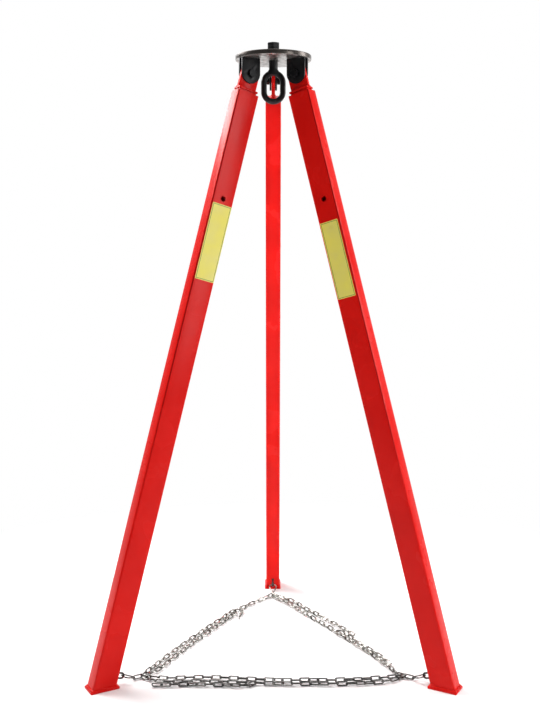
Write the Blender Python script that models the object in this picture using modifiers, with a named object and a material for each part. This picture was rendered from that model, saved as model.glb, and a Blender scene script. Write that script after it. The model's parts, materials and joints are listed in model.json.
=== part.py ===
# Lifting tripod with telescopic box-section legs, a swivel eye under its head disc
# and a steel chain that ties the three feet together. Metres, +Z up.

import math

import bmesh
import bpy
import numpy as np
from mathutils import Matrix, Vector

# Play left between pieces that touch
GAP = 0.0003

# Stance: the legs lean out from a hinge circle under the disc
SPLAY = math.radians(15.33)
HINGE_RADIUS = 0.0705
HINGE_HEIGHT = 1.538
LEGS = {"left": 210.0, "right": 330.0, "rear": 90.0}
# The side of each leg that its bolt heads face: +1 is the side reached by turning left
HEAD_SIDE = {"left": 1, "right": -1, "rear": 1}
CHEEK_SIDES = {
    "left": {1: "front", -1: "back"},
    "right": {-1: "front", 1: "back"},
    "rear": {1: "left", -1: "right"},
}

# Head disc
DISC_RADIUS = 0.100
DISC_THICKNESS = 0.012
DISC_BOTTOM = HINGE_HEIGHT + 0.040
DISC_TOP = DISC_BOTTOM + DISC_THICKNESS
DISC_EDGE = 0.0015
DISC_STEPS = 40

# Hinge: two cheeks under the disc, one plate on the leg, one bolt through them
CHEEK_WIDTH = 0.053
CHEEK_THICKNESS = 0.005
CHEEK_INNER_FACE = 0.005
CHEEK_SET_OUT = 0.0012
PLATE_WIDTH = 0.052
PLATE_THICKNESS = 2 * (CHEEK_INNER_FACE - GAP)
PLATE_CORNER = 0.002
PLATE_ROUNDING = 0.018
BOLT_RADIUS = 0.006
BOLT_ACROSS_FLATS = 0.019
BOLT_HEAD = 0.0075
HINGE_NUT = 0.008
CHEEK_HOLE = 0.0064
PLATE_HOLE = 0.0067

# Swivel eye
SHANK_RADIUS = 0.0098
SHANK_HOLE = 0.0104
NECK_RADIUS = 0.0117
NECK_LENGTH = 0.021
SHOULDER_RADIUS = 0.0200
SHOULDER_LENGTH = 0.013
SHOULDER_FLATNESS = 0.55
EYE_BAR = 0.0077
EYE_HALF_WIDTH = 0.0249
EYE_STRAIGHT = 0.0245
EYE_CENTRE = 1.5088
WASHER_RADIUS = 0.0185
WASHER_THICKNESS = 0.003
SWIVEL_NUT_ACROSS_FLATS = 0.030
SWIVEL_NUT = 0.015
SHANK_TOP = 1.625

# Box tubes, measured along the leg from the hinge
OUTER_WIDTH = 0.061
OUTER_DEPTH = 0.042
OUTER_ROUNDING = 0.004
INNER_WIDTH = 0.050
INNER_DEPTH = 0.030
INNER_ROUNDING = 0.0035
WALL = 0.0025
CAP_TOP = 0.043
CAP_THICKNESS = 0.005
CAP_WIDTH = 0.055
CAP_DEPTH = 0.034
OUTER_TUBE_TOP = 0.054
PIN_HOLE_BELOW_TOP = 0.2845
PIN_HOLE_RADIUS = 0.007
PIN_HOLE_SPACING = 0.195
PIN_HOLES = 7
LOWEST_PIN_HOLE = 0.0735

# Feet
FOOT_LENGTH = 0.075
FOOT_WIDTH = 0.050
FOOT_THICKNESS = 0.005
FOOT_SET_IN = 0.001
FOOT_CORNER = 0.002

# Chain ring welded low on the inner face of each leg
RING_WIRE = 0.0025
RING_TURN = 0.0065
RING_REACH = 0.0215
RING_HEIGHT = 0.028

# Pear link between the ring and the chain
PEAR_WIRE = 0.00175
PEAR_WIDE_TURN = 0.0105
PEAR_NARROW_TURN = 0.0045
PEAR_TIP_RADIUS = 0.404
PEAR_TIP_HEIGHT = 0.0075

# Chain: a link is a six-sided ring of three-sided wire, drawn out along its length
LINK_PITCH = 0.0222
LINK_TURN = 0.0060
LINK_SECTION = 0.0024
LINK_BITE = 0.0003
LINK_SLIP = 0.0004
LINK_ROLL = math.radians(45)
PARTING = 0.0010
CHAIN_HEIGHT = 0.0071
CURVE_SAMPLES = 24


def foot_radius():
    # Distance of the leg's centre line from the tripod's axis, on top of the foot plate
    down_leg = (HINGE_HEIGHT - FOOT_THICKNESS) / math.cos(SPLAY)
    return HINGE_RADIUS + down_leg * math.sin(SPLAY)


def axis_offset():
    # The origin is the middle of the footprint, so the tripod's axis stands off it
    outermost = foot_radius() - FOOT_SET_IN + FOOT_LENGTH / 2
    frontmost = (outermost - FOOT_CORNER) / 2 + FOOT_WIDTH / 2 * math.cos(math.radians(30))
    return (outermost - frontmost) / 2


AXIS = Vector((0, -axis_offset(), 0))
TUBE_END = (HINGE_HEIGHT - FOOT_THICKNESS - GAP) / math.cos(SPLAY)


def clear_scene():
    for old in list(bpy.data.objects):
        bpy.data.objects.remove(old, do_unlink=True)


def make_collection(name):
    collection = bpy.data.collections.new(name)
    bpy.context.scene.collection.children.link(collection)
    return collection


clear_scene()
PARTS = make_collection("lifting_tripod")
CUTTERS = make_collection("cutters")


def make_material(name, colour, metallic, roughness):
    material = bpy.data.materials.new(name)
    material.use_nodes = True
    shader = material.node_tree.nodes["Principled BSDF"]
    shader.inputs["Base Color"].default_value = (*colour, 1)
    shader.inputs["Metallic"].default_value = metallic
    shader.inputs["Roughness"].default_value = roughness
    return material


RED_PAINT = make_material("red_paint", (0.64, 0.018, 0.014), 0.0, 0.28)
BLACK_OXIDE = make_material("black_oxide", (0.018, 0.019, 0.022), 0.6, 0.42)
DISC_STEEL = make_material("disc_steel", (0.09, 0.08, 0.075), 0.8, 0.35)
ZINC_STEEL = make_material("zinc_steel", (0.42, 0.41, 0.38), 1.0, 0.38)


def empty(name, parent, location, rotation=(0, 0, 0)):
    # A frame to hang pieces on
    frame = bpy.data.objects.new(name, None)
    PARTS.objects.link(frame)
    frame.parent = parent
    frame.location = location
    frame.rotation_euler = rotation
    return frame


def place(name, mesh, material, parent, location=(0, 0, 0), rotation=(0, 0, 0)):
    piece = bpy.data.objects.new(name, mesh)
    PARTS.objects.link(piece)
    mesh.materials.clear()
    mesh.materials.append(material)
    piece.parent = parent
    piece.location = location
    piece.rotation_euler = rotation
    return piece


def smooth(mesh, angle=40):
    mesh.shade_smooth()
    mesh.set_sharp_from_angle(angle=math.radians(angle))


def evaluated_mesh(source):
    # The object as its modifiers or its bevel leave it, welded and facing outwards
    graph = bpy.context.evaluated_depsgraph_get()
    mesh = bpy.data.meshes.new_from_object(source.evaluated_get(graph))
    bpy.data.objects.remove(source, do_unlink=True)
    welded = bmesh.new()
    welded.from_mesh(mesh)
    bmesh.ops.remove_doubles(welded, verts=welded.verts, dist=1e-6)
    bmesh.ops.recalc_face_normals(welded, faces=welded.faces)
    welded.to_mesh(mesh)
    welded.free()
    return mesh


def helper(name, data):
    # A cutter or a guide, kept out of the render
    guide = bpy.data.objects.new(name, data)
    CUTTERS.objects.link(guide)
    guide.hide_render = True
    guide.display_type = "WIRE"
    return guide


def boolean(piece, other, operation):
    modifier = piece.modifiers.new(operation.lower(), "BOOLEAN")
    modifier.operation = operation
    modifier.solver = "EXACT"
    modifier.object = other


def union(first, others):
    # The others may cross each other as well
    joined = bmesh.new()
    for mesh in others:
        joined.from_mesh(mesh)
    second = bpy.data.meshes.new("joined")
    joined.to_mesh(second)
    joined.free()
    base = helper("union_base", first)
    addition = helper("union_addition", second)
    boolean(base, addition, "UNION")
    base.modifiers[0].use_self = len(others) > 1
    mesh = evaluated_mesh(base)
    bpy.data.objects.remove(addition, do_unlink=True)
    return mesh


def poly_spline(curve, points, cyclic=True):
    spline = curve.splines.new("POLY")
    spline.points.add(len(points) - 1)
    for slot, point in zip(spline.points, points):
        slot.co = (*point, 1) if len(point) == 3 else (*point, 0, 1)
    spline.use_cyclic_u = cyclic


def flat_plate(outline, thickness, holes=()):
    # A flat outline in XY, its thickness centred on the XY plane
    curve = bpy.data.curves.new("outline", "CURVE")
    curve.dimensions = "2D"
    curve.fill_mode = "BOTH"
    curve.extrude = thickness / 2
    for loop in (outline, *holes):
        poly_spline(curve, loop)
    return evaluated_mesh(helper("outline", curve))


def wire(points, radius, cyclic, resolution):
    curve = bpy.data.curves.new("wire", "CURVE")
    curve.dimensions = "3D"
    curve.bevel_depth = radius
    curve.bevel_resolution = resolution
    curve.use_fill_caps = True
    poly_spline(curve, points, cyclic)
    mesh = evaluated_mesh(helper("wire", curve))
    smooth(mesh, 60)
    return mesh


def arc(centre, radius, start, end, steps):
    # Points on an arc in a plane, angles in degrees, both ends included
    angles = np.radians(np.linspace(start, end, steps + 1))
    return [(centre[0] + radius * math.cos(a), centre[1] + radius * math.sin(a)) for a in angles]


def circle(radius, steps, centre=(0, 0)):
    return arc(centre, radius, 0, 360, steps)[:-1]


def rounded_rectangle(width, depth, rounding, steps):
    x = width / 2 - rounding
    y = depth / 2 - rounding
    corners = (((x, y), 0), ((-x, y), 90), ((-x, -y), 180), ((x, -y), 270))
    return [point for centre, start in corners for point in arc(centre, rounding, start, start + 90, steps)]


def hexagon(across_flats):
    return circle(across_flats / 2 / math.cos(math.pi / 6), 6)


def turned(profile, steps):
    # A profile of (radius, height) points turned about Z, running down its outer side
    mesh = bpy.data.meshes.new("profile")
    drawn = bmesh.new()
    points = [drawn.verts.new((radius, 0, height)) for radius, height in profile]
    for first, second in zip(points, points[1:]):
        drawn.edges.new((first, second))
    if profile[0][0] > 0:
        drawn.edges.new((points[-1], points[0]))
    drawn.to_mesh(mesh)
    drawn.free()
    guide = helper("profile", mesh)
    screw = guide.modifiers.new("turn", "SCREW")
    screw.steps = steps
    screw.render_steps = steps
    screw.use_merge_vertices = True
    screw.merge_threshold = 0.00001
    turned_mesh = evaluated_mesh(guide)
    smooth(turned_mesh)
    return turned_mesh


def prism(radius, length, steps, matrix):
    # A straight bar centred on its matrix, along its local Z
    mesh = bpy.data.meshes.new("bar")
    bar = bmesh.new()
    bmesh.ops.create_cone(
        bar, cap_ends=True, segments=steps, radius1=radius, radius2=radius, depth=length, matrix=matrix
    )
    bar.to_mesh(mesh)
    bar.free()
    return mesh


def box_tube(width, depth, rounding, steps, length):
    # An open-ended box tube, drawn as a ribbon and thickened inwards
    curve = bpy.data.curves.new("tube", "CURVE")
    curve.dimensions = "2D"
    curve.fill_mode = "NONE"
    curve.extrude = length / 2
    poly_spline(curve, rounded_rectangle(width, depth, rounding, steps))
    ribbon = helper("ribbon", evaluated_mesh(helper("tube", curve)))
    shell = ribbon.modifiers.new("wall", "SOLIDIFY")
    shell.thickness = WALL
    shell.offset = -1
    shell.use_even_offset = True
    mesh = evaluated_mesh(ribbon)
    smooth(mesh)
    return mesh


def cross_bars(radius, steps, heights, length):
    # Bars along Y at the given heights, to cut pin holes with
    bars = bmesh.new()
    for height in heights:
        matrix = Matrix.Translation((0, 0, height)) @ Matrix.Rotation(math.pi / 2, 4, "X")
        bmesh.ops.create_cone(
            bars, cap_ends=True, segments=steps, radius1=radius, radius2=radius, depth=length, matrix=matrix
        )
    mesh = bpy.data.meshes.new("pin_holes")
    bars.to_mesh(mesh)
    bars.free()
    return helper("pin_holes", mesh)


def cut(mesh, cutters):
    piece = helper("cut_piece", mesh)
    for cutter in cutters:
        boolean(piece, cutter, "DIFFERENCE")
    result = evaluated_mesh(piece)
    for cutter in cutters:
        bpy.data.objects.remove(cutter, do_unlink=True)
    smooth(result)
    return result


# Head
def make_disc(axis):
    inner, outer = SHANK_HOLE, DISC_RADIUS
    profile = [
        (inner, DISC_TOP),
        (outer - DISC_EDGE, DISC_TOP),
        (outer, DISC_TOP - DISC_EDGE),
        (outer, DISC_BOTTOM + DISC_EDGE),
        (outer - DISC_EDGE, DISC_BOTTOM),
        (inner, DISC_BOTTOM),
    ]
    place("head_disc", turned(profile, DISC_STEPS), DISC_STEEL, axis)


def cheek_mesh():
    # Straight sides down from the disc and a half-round lower end, a little outside the bolt
    radius = CHEEK_WIDTH / 2
    top = DISC_BOTTOM - GAP - HINGE_HEIGHT
    outline = [(CHEEK_SET_OUT + radius, top), (CHEEK_SET_OUT - radius, top)]
    outline += arc((CHEEK_SET_OUT, 0), radius, 180, 360, 12)
    return flat_plate(outline, CHEEK_THICKNESS, [circle(CHEEK_HOLE, 12)])


def make_hinge(leg, upright):
    # The cheeks hang square under the disc, whatever the leg's lean
    mesh = cheek_mesh()
    for side, word in CHEEK_SIDES[leg].items():
        offset = side * (CHEEK_INNER_FACE + CHEEK_THICKNESS / 2)
        place(f"cheek_{leg}_{word}", mesh, BLACK_OXIDE, upright, (0, offset, 0), (math.pi / 2, 0, 0))
    side = HEAD_SIDE[leg]
    outer_face = CHEEK_INNER_FACE + CHEEK_THICKNESS + GAP
    bolt_end = -outer_face - HINGE_NUT - 0.001
    across = Matrix.Rotation(math.pi / 2, 4, "X")
    head = prism(
        BOLT_ACROSS_FLATS / 2 / math.cos(math.pi / 6),
        BOLT_HEAD,
        6,
        Matrix.Translation((0, side * (outer_face + BOLT_HEAD / 2), 0)) @ across,
    )
    shank_length = outer_face + BOLT_HEAD / 2 - bolt_end
    shank_middle = side * (outer_face + BOLT_HEAD / 2 + bolt_end) / 2
    shank = prism(BOLT_RADIUS, shank_length, 12, Matrix.Translation((0, shank_middle, 0)) @ across)
    place(f"hinge_bolt_{leg}", union(head, [shank]), BLACK_OXIDE, upright)
    nut = flat_plate(hexagon(BOLT_ACROSS_FLATS), HINGE_NUT, [circle(CHEEK_HOLE, 12)])
    nut_place = (0, -side * (outer_face + HINGE_NUT / 2), 0)
    place(f"hinge_nut_{leg}", nut, BLACK_OXIDE, upright, nut_place, (math.pi / 2, 0, 0))


# Swivel eye: a forged ring on a neck, its shank up through the disc
def make_swivel(axis):
    neck_top = DISC_BOTTOM - GAP
    shoulder_top = neck_top - NECK_LENGTH
    shoulder_bottom = shoulder_top - SHOULDER_LENGTH
    profile = [
        (0, SHANK_TOP),
        (SHANK_RADIUS - 0.001, SHANK_TOP),
        (SHANK_RADIUS, SHANK_TOP - 0.001),
        (SHANK_RADIUS, neck_top),
        (NECK_RADIUS, neck_top),
        (NECK_RADIUS, shoulder_top),
        (SHOULDER_RADIUS, shoulder_bottom),
        (SHOULDER_RADIUS * 0.8, shoulder_bottom - 0.003),
        (0, shoulder_bottom - 0.003),
    ]
    stem = turned(profile, 20)
    for vertex in stem.vertices:
        if vertex.co.z < shoulder_top - 0.001:
            vertex.co.y *= SHOULDER_FLATNESS
    half = EYE_STRAIGHT / 2
    loop = arc((0, half), EYE_HALF_WIDTH, 0, 180, 10) + arc((0, -half), EYE_HALF_WIDTH, 180, 360, 10)
    ring = wire([(x, 0, EYE_CENTRE + z) for x, z in loop], EYE_BAR, True, 2)
    eye = union(stem, [ring])
    smooth(eye, 50)
    place("swivel_eye", eye, BLACK_OXIDE, axis)

    washer = flat_plate(circle(WASHER_RADIUS, 24), WASHER_THICKNESS, [circle(SHANK_HOLE, 20)])
    level = DISC_TOP + GAP
    place("swivel_washer", washer, BLACK_OXIDE, axis, (0, 0, level + WASHER_THICKNESS / 2))
    level += WASHER_THICKNESS + GAP
    nut = flat_plate(hexagon(SWIVEL_NUT_ACROSS_FLATS), SWIVEL_NUT, [circle(SHANK_HOLE, 20)])
    for name in ("swivel_nut", "swivel_lock_nut"):
        turn = (0, 0, math.pi / 6)
        place(name, nut, BLACK_OXIDE, axis, (0, 0, level + SWIVEL_NUT / 2), turn)
        level += SWIVEL_NUT + GAP


# Upper part of a leg. Along the leg, the hinge is at zero and down is negative.
def hinge_plate_mesh():
    # The upper outer corner meets the disc when the leg is fully open
    edge = PLATE_WIDTH / 2
    stop = edge - PLATE_CORNER
    top = (DISC_BOTTOM - GAP - HINGE_HEIGHT - stop * math.sin(SPLAY)) / math.cos(SPLAY)
    bottom = -CAP_TOP + GAP
    outline = [
        (-edge, bottom),
        (edge, bottom),
        (edge, top - PLATE_CORNER),
        (stop, top),
        *arc((-edge + PLATE_ROUNDING, top - PLATE_ROUNDING), PLATE_ROUNDING, 90, 180, 5),
    ]
    return flat_plate(outline, PLATE_THICKNESS, [circle(PLATE_HOLE, 12)])


def make_upper_leg(leg, hinge):
    place(f"hinge_plate_{leg}", hinge_plate_mesh(), RED_PAINT, hinge, rotation=(math.pi / 2, 0, 0))
    cap = flat_plate(rounded_rectangle(CAP_WIDTH, CAP_DEPTH, 0.003, 2), CAP_THICKNESS)
    place(f"cap_plate_{leg}", cap, RED_PAINT, hinge, (0, 0, -CAP_TOP - CAP_THICKNESS / 2))

    # The inner edge of the tube's square end comes down onto the foot plate
    top = -CAP_TOP - CAP_THICKNESS - GAP
    lean = INNER_WIDTH / 2 * math.sin(SPLAY)
    bottom = -(HINGE_HEIGHT - FOOT_THICKNESS - 2 * GAP - lean) / math.cos(SPLAY)
    tube = box_tube(INNER_WIDTH, INNER_DEPTH, INNER_ROUNDING, 2, top - bottom)
    first = -(top - bottom) / 2 + LOWEST_PIN_HOLE
    heights = [first + PIN_HOLE_SPACING * number for number in range(PIN_HOLES)]
    drilled = cut(tube, [cross_bars(PIN_HOLE_RADIUS, 6, heights, 2 * INNER_DEPTH)])
    place(f"inner_tube_{leg}", drilled, RED_PAINT, hinge, (0, 0, (top + bottom) / 2))


# Lower part of a leg
def make_lower_leg(leg, upright, hinge):
    # The lower end is cut level, so it stands flat on the foot plate
    overrun = OUTER_WIDTH * math.tan(SPLAY)
    top = -OUTER_TUBE_TOP
    bottom = -TUBE_END - overrun
    length = top - bottom
    middle = (top + bottom) / 2
    tube = box_tube(OUTER_WIDTH, OUTER_DEPTH, OUTER_ROUNDING, 3, length)
    hole = cross_bars(PIN_HOLE_RADIUS, 12, [length / 2 - PIN_HOLE_BELOW_TOP], 2 * OUTER_DEPTH)
    floor_cut = bmesh.new()
    depth = 0.2
    level = Matrix.Translation((0, 0, -TUBE_END - middle)) @ Matrix.Rotation(SPLAY, 4, "Y")
    bmesh.ops.create_cube(floor_cut, size=depth, matrix=level @ Matrix.Translation((0, 0, -depth / 2)))
    floor_mesh = bpy.data.meshes.new("floor_cut")
    floor_cut.to_mesh(floor_mesh)
    floor_cut.free()
    trimmed = cut(tube, [hole, helper("floor_cut", floor_mesh)])
    place(f"outer_tube_{leg}", trimmed, RED_PAINT, hinge, (0, 0, middle))

    foot = flat_plate(rounded_rectangle(FOOT_LENGTH, FOOT_WIDTH, FOOT_CORNER, 1), FOOT_THICKNESS)
    foot_place = (foot_radius() - FOOT_SET_IN - HINGE_RADIUS, 0, FOOT_THICKNESS / 2 - HINGE_HEIGHT)
    place(f"foot_plate_{leg}", foot, RED_PAINT, upright, foot_place)

    face = -OUTER_WIDTH / 2 - GAP
    turn_centre = -OUTER_WIDTH / 2 - RING_REACH + RING_TURN
    staple = [(face, RING_TURN), *arc((turn_centre, 0), RING_TURN, 90, 270, 6), (face, -RING_TURN)]
    ring = wire([(x, 0, z) for x, z in staple], RING_WIRE, False, 1)
    place(f"chain_ring_{leg}", ring, BLACK_OXIDE, hinge, (0, 0, RING_HEIGHT - TUBE_END))


def ring_tip():
    # Centre of the ring's wire at its tip, as radius and height
    along = TUBE_END - RING_HEIGHT
    across = OUTER_WIDTH / 2 + RING_REACH
    radius = HINGE_RADIUS + along * math.sin(SPLAY) - across * math.cos(SPLAY)
    height = HINGE_HEIGHT - along * math.cos(SPLAY) - across * math.sin(SPLAY)
    return radius, height


def make_pear_link(leg, spoke):
    # The wide end is threaded through the ring, the narrow end holds the chain
    tip_radius, tip_height = ring_tip()
    clear = RING_WIRE + PEAR_WIRE + GAP
    wide = Vector((tip_radius + clear * math.cos(SPLAY), 0, tip_height + clear * math.sin(SPLAY)))
    narrow = Vector((PEAR_TIP_RADIUS, 0, PEAR_TIP_HEIGHT))
    run = narrow - wide
    spread = run.length - PEAR_WIDE_TURN - PEAR_NARROW_TURN
    tilt = math.degrees(math.asin((PEAR_WIDE_TURN - PEAR_NARROW_TURN) / spread))
    outline = arc((PEAR_WIDE_TURN, 0), PEAR_WIDE_TURN, 90 - tilt, 270 + tilt, 8)
    outline += arc((PEAR_WIDE_TURN + spread, 0), PEAR_NARROW_TURN, tilt - 90, 90 - tilt, 4)
    along = run.normalized()
    points = [wide + along * x + Vector((0, y, 0)) for x, y in outline]
    pear = wire([tuple(point) for point in points], PEAR_WIRE, True, 1)
    place(f"pear_link_{leg}", pear, ZINC_STEEL, spoke)


# Chain
def link_template():
    # A three-sided section with an edge inwards, spun into a six-sided ring
    ring = bmesh.new()
    section = Matrix.Translation((LINK_TURN, 0, 0)) @ Matrix.Rotation(math.pi / 2, 4, "X")
    inward = Matrix.Rotation(math.pi / 2, 4, "Z")
    bmesh.ops.create_circle(ring, segments=3, radius=LINK_SECTION, matrix=section @ inward)
    bmesh.ops.spin(
        ring,
        geom=ring.verts[:] + ring.edges[:],
        cent=(0, 0, 0),
        axis=(0, 0, 1),
        angle=2 * math.pi,
        steps=6,
        use_merge=True,
    )
    bmesh.ops.remove_doubles(ring, verts=ring.verts, dist=1e-6)
    bmesh.ops.recalc_face_normals(ring, faces=ring.faces)
    mesh = bpy.data.meshes.new("link")
    ring.to_mesh(mesh)
    ring.free()
    return mesh


LINK = link_template()


def add_link(group, start, end, roll):
    # One link drawn out between the two points where it meets its neighbours
    chord = end - start
    slope = LINK_SLIP / math.tan(math.radians(60))
    stretch = (chord.length - LINK_BITE) / 2 + LINK_SECTION - LINK_TURN + slope
    turn = chord.to_track_quat("X", "Z").to_matrix().to_4x4() @ Matrix.Rotation(roll, 4, "X")
    matrix = Matrix.Translation((start + end) / 2) @ turn
    known = len(group.verts)
    group.from_mesh(LINK)
    group.verts.ensure_lookup_table()
    for vertex in group.verts[known:]:
        vertex.co.x += math.copysign(stretch, vertex.co.x)
        vertex.co.y += LINK_SLIP
        vertex.co = matrix @ vertex.co


def smooth_route(points):
    # A Catmull-Rom curve through the route's own points
    points = [np.array(point, float) for point in points]
    padded = [2 * points[0] - points[1], *points, 2 * points[-1] - points[-2]]
    curve = []
    for a, b, c, d in zip(padded, padded[1:], padded[2:], padded[3:]):
        for t in np.linspace(0, 1, CURVE_SAMPLES, endpoint=False):
            curve.append(
                0.5 * (2 * b + (c - a) * t + (2 * a - 5 * b + 4 * c - d) * t**2 + (3 * b - a - 3 * c + d) * t**3)
            )
    curve.append(points[-1])
    return np.array(curve)


def joints_along(points, parting=0):
    # The points where a strand's links meet, a whole number of links apart. A parting
    # makes the last link that much longer, to hang in another piece's link without touching it.
    curve = smooth_route(points)
    lengths = np.concatenate([[0], np.cumsum(np.linalg.norm(np.diff(curve, axis=0), axis=1))])
    count = max(1, round(lengths[-1] / LINK_PITCH))
    stations = np.linspace(0, lengths[-1], count + 1)
    joints = [Vector([np.interp(s, lengths, curve[:, axis]) for axis in range(3)]) for s in stations]
    joints[-1] += (joints[-1] - joints[-2]).normalized() * parting
    return joints


def strand_meshes(joints):
    # Alternate links in two meshes, so that none in a mesh touches another
    groups = (bmesh.new(), bmesh.new())
    last = len(joints) - 2
    for number, (start, end) in enumerate(zip(joints, joints[1:])):
        parity = (last - number) % 2
        add_link(groups[parity], start, end, LINK_ROLL if parity == 0 else -LINK_ROLL)
    meshes = []
    for group in groups:
        if group.verts:
            mesh = bpy.data.meshes.new("strand")
            group.to_mesh(mesh)
            meshes.append(mesh)
        group.free()
    return meshes


def on_floor(points):
    return [(x, y, CHAIN_HEIGHT) for x, y in points]


def hitch_link(leg):
    # The upright link in the pear link's narrow end, and where the strands hang on it
    azimuth = math.radians(LEGS[leg])
    outward = Vector((math.cos(azimuth), math.sin(azimuth), 0))
    near = PEAR_TIP_RADIUS + PEAR_WIRE + GAP + LINK_BITE
    start = outward * near + Vector((0, 0, PEAR_TIP_HEIGHT))
    end = outward * (near - LINK_PITCH) + Vector((0, 0, PEAR_TIP_HEIGHT))
    return start, end


# Routes of the strands on the floor, from the hitch link out to the middle of each side.
# X and Y are measured from the tripod's axis.
ROUTES = {
    "left": {
        "front_far": [(-0.3100, -0.1935), (-0.2650, -0.2040), (-0.1960, -0.1990), (-0.1320, -0.2010),
                      (-0.0700, -0.2075), (0.0000, -0.2150)],
        "front_near": [(-0.3150, -0.2050), (-0.2880, -0.2190), (-0.2500, -0.2230), (-0.1900, -0.2210),
                       (-0.1300, -0.2240), (-0.0650, -0.2290), (0.0000, -0.2340)],
        "back_outer": [(-0.3255, -0.1710), (-0.3110, -0.1400), (-0.2810, -0.0720), (-0.2480, 0.0000),
                       (-0.2130, 0.0690), (-0.1970, 0.0990)],
        "back_inner": [(-0.3145, -0.1795), (-0.2930, -0.1490), (-0.2610, -0.0750), (-0.2310, -0.0090),
                       (-0.1960, 0.0610), (-0.1790, 0.0960)],
    },
    "right": {
        "front_far": [(0.3100, -0.1935), (0.2550, -0.2055), (0.2000, -0.2115), (0.1500, -0.2160),
                      (0.1000, -0.2145), (0.0500, -0.2165), (0.0000, -0.2150)],
        "front_near": [(0.3150, -0.2050), (0.2850, -0.2195), (0.2400, -0.2300), (0.1900, -0.2335),
                       (0.1400, -0.2350), (0.0900, -0.2340), (0.0450, -0.2350), (0.0000, -0.2340)],
        "back_inner": [(0.3145, -0.1795), (0.3010, -0.1420), (0.2700, -0.0750), (0.2380, -0.0150),
                       (0.2050, 0.0430), (0.1685, 0.1075)],
    },
    "rear": {
        "left_outer": [(-0.0140, 0.3660), (-0.0430, 0.3370), (-0.0680, 0.3050), (-0.0900, 0.2730),
                       (-0.1120, 0.2570), (-0.1340, 0.2220), (-0.1520, 0.1830), (-0.1750, 0.1420),
                       (-0.1970, 0.0990)],
        "right_outer": [(0.0180, 0.3700), (0.0480, 0.3420), (0.0750, 0.3080), (0.0960, 0.2680),
                        (0.1250, 0.2290), (0.1560, 0.1830), (0.1840, 0.1400), (0.2050, 0.1050),
                        (0.2260, 0.0700)],
        "right_inner": [(0.0060, 0.3620), (0.0330, 0.3290), (0.0600, 0.2900), (0.0850, 0.2450),
                        (0.1180, 0.1900), (0.1430, 0.1500), (0.1685, 0.1075)],
    },
}
# Strands whose last link hangs in the last link of another leg's chain
PARTED = {
    ("left", "front_far"),
    ("left", "front_near"),
    ("left", "back_outer"),
    ("left", "back_inner"),
    ("rear", "right_inner"),
}
# Strands that hook into a strand above, at the joint nearest to their first point
BRANCHES = {
    "left": [
        ("front_near", [(-0.0350, -0.2310), (-0.0560, -0.2420), (-0.0950, -0.2440), (-0.1500, -0.2400),
                        (-0.2100, -0.2385), (-0.2600, -0.2400), (-0.2990, -0.2420)]),
    ],
    "right": [
        ("back_inner", [(0.1800, 0.0870), (0.1980, 0.0830), (0.2140, 0.0540), (0.2480, -0.0080),
                        (0.2820, -0.0690), (0.3050, -0.1180)]),
    ],
    "rear": [
        ("left_outer", [(-0.1140, 0.2540), (-0.1120, 0.2320), (-0.1230, 0.2050), (-0.1390, 0.1760),
                        (-0.1590, 0.1370), (-0.1790, 0.0960)]),
        ("left_outer", [(-0.0920, 0.2720), (-0.0900, 0.2500), (-0.0960, 0.2250), (-0.0980, 0.2000)]),
    ],
}


def make_chain(leg, axis):
    start, knot = hitch_link(leg)
    hitch = bmesh.new()
    add_link(hitch, start, knot, math.pi / 2)
    hitch_mesh = bpy.data.meshes.new("hitch")
    hitch.to_mesh(hitch_mesh)
    hitch.free()
    meshes = []
    hosts = {}
    for name, route in ROUTES[leg].items():
        parting = PARTING if (leg, name) in PARTED else 0
        joints = joints_along([tuple(knot), *on_floor(route)], parting)
        hosts[name] = joints
        meshes += strand_meshes(joints)
    for host, route in BRANCHES[leg]:
        first = Vector(on_floor(route[:1])[0])
        hook = min(hosts[host], key=lambda joint: (joint - first).length)
        meshes += strand_meshes(joints_along([tuple(hook), *on_floor(route[1:])]))
    chain = union(hitch_mesh, meshes)
    place(f"chain_{leg}", chain, ZINC_STEEL, axis)


def make_tripod():
    axis = empty("tripod_axis", None, AXIS)
    make_disc(axis)
    make_swivel(axis)
    for leg, azimuth in LEGS.items():
        spoke = empty(f"spoke_{leg}", axis, (0, 0, 0), (0, 0, math.radians(azimuth)))
        upright = empty(f"upright_{leg}", spoke, (HINGE_RADIUS, 0, HINGE_HEIGHT))
        hinge = empty(f"hinge_{leg}", upright, (0, 0, 0), (0, -SPLAY, 0))
        make_hinge(leg, upright)
        make_upper_leg(leg, hinge)
        make_lower_leg(leg, upright, hinge)
        make_pear_link(leg, spoke)
        make_chain(leg, axis)


make_tripod()
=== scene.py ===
import json
import math

import bpy
from mathutils import Matrix, Vector


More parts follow.
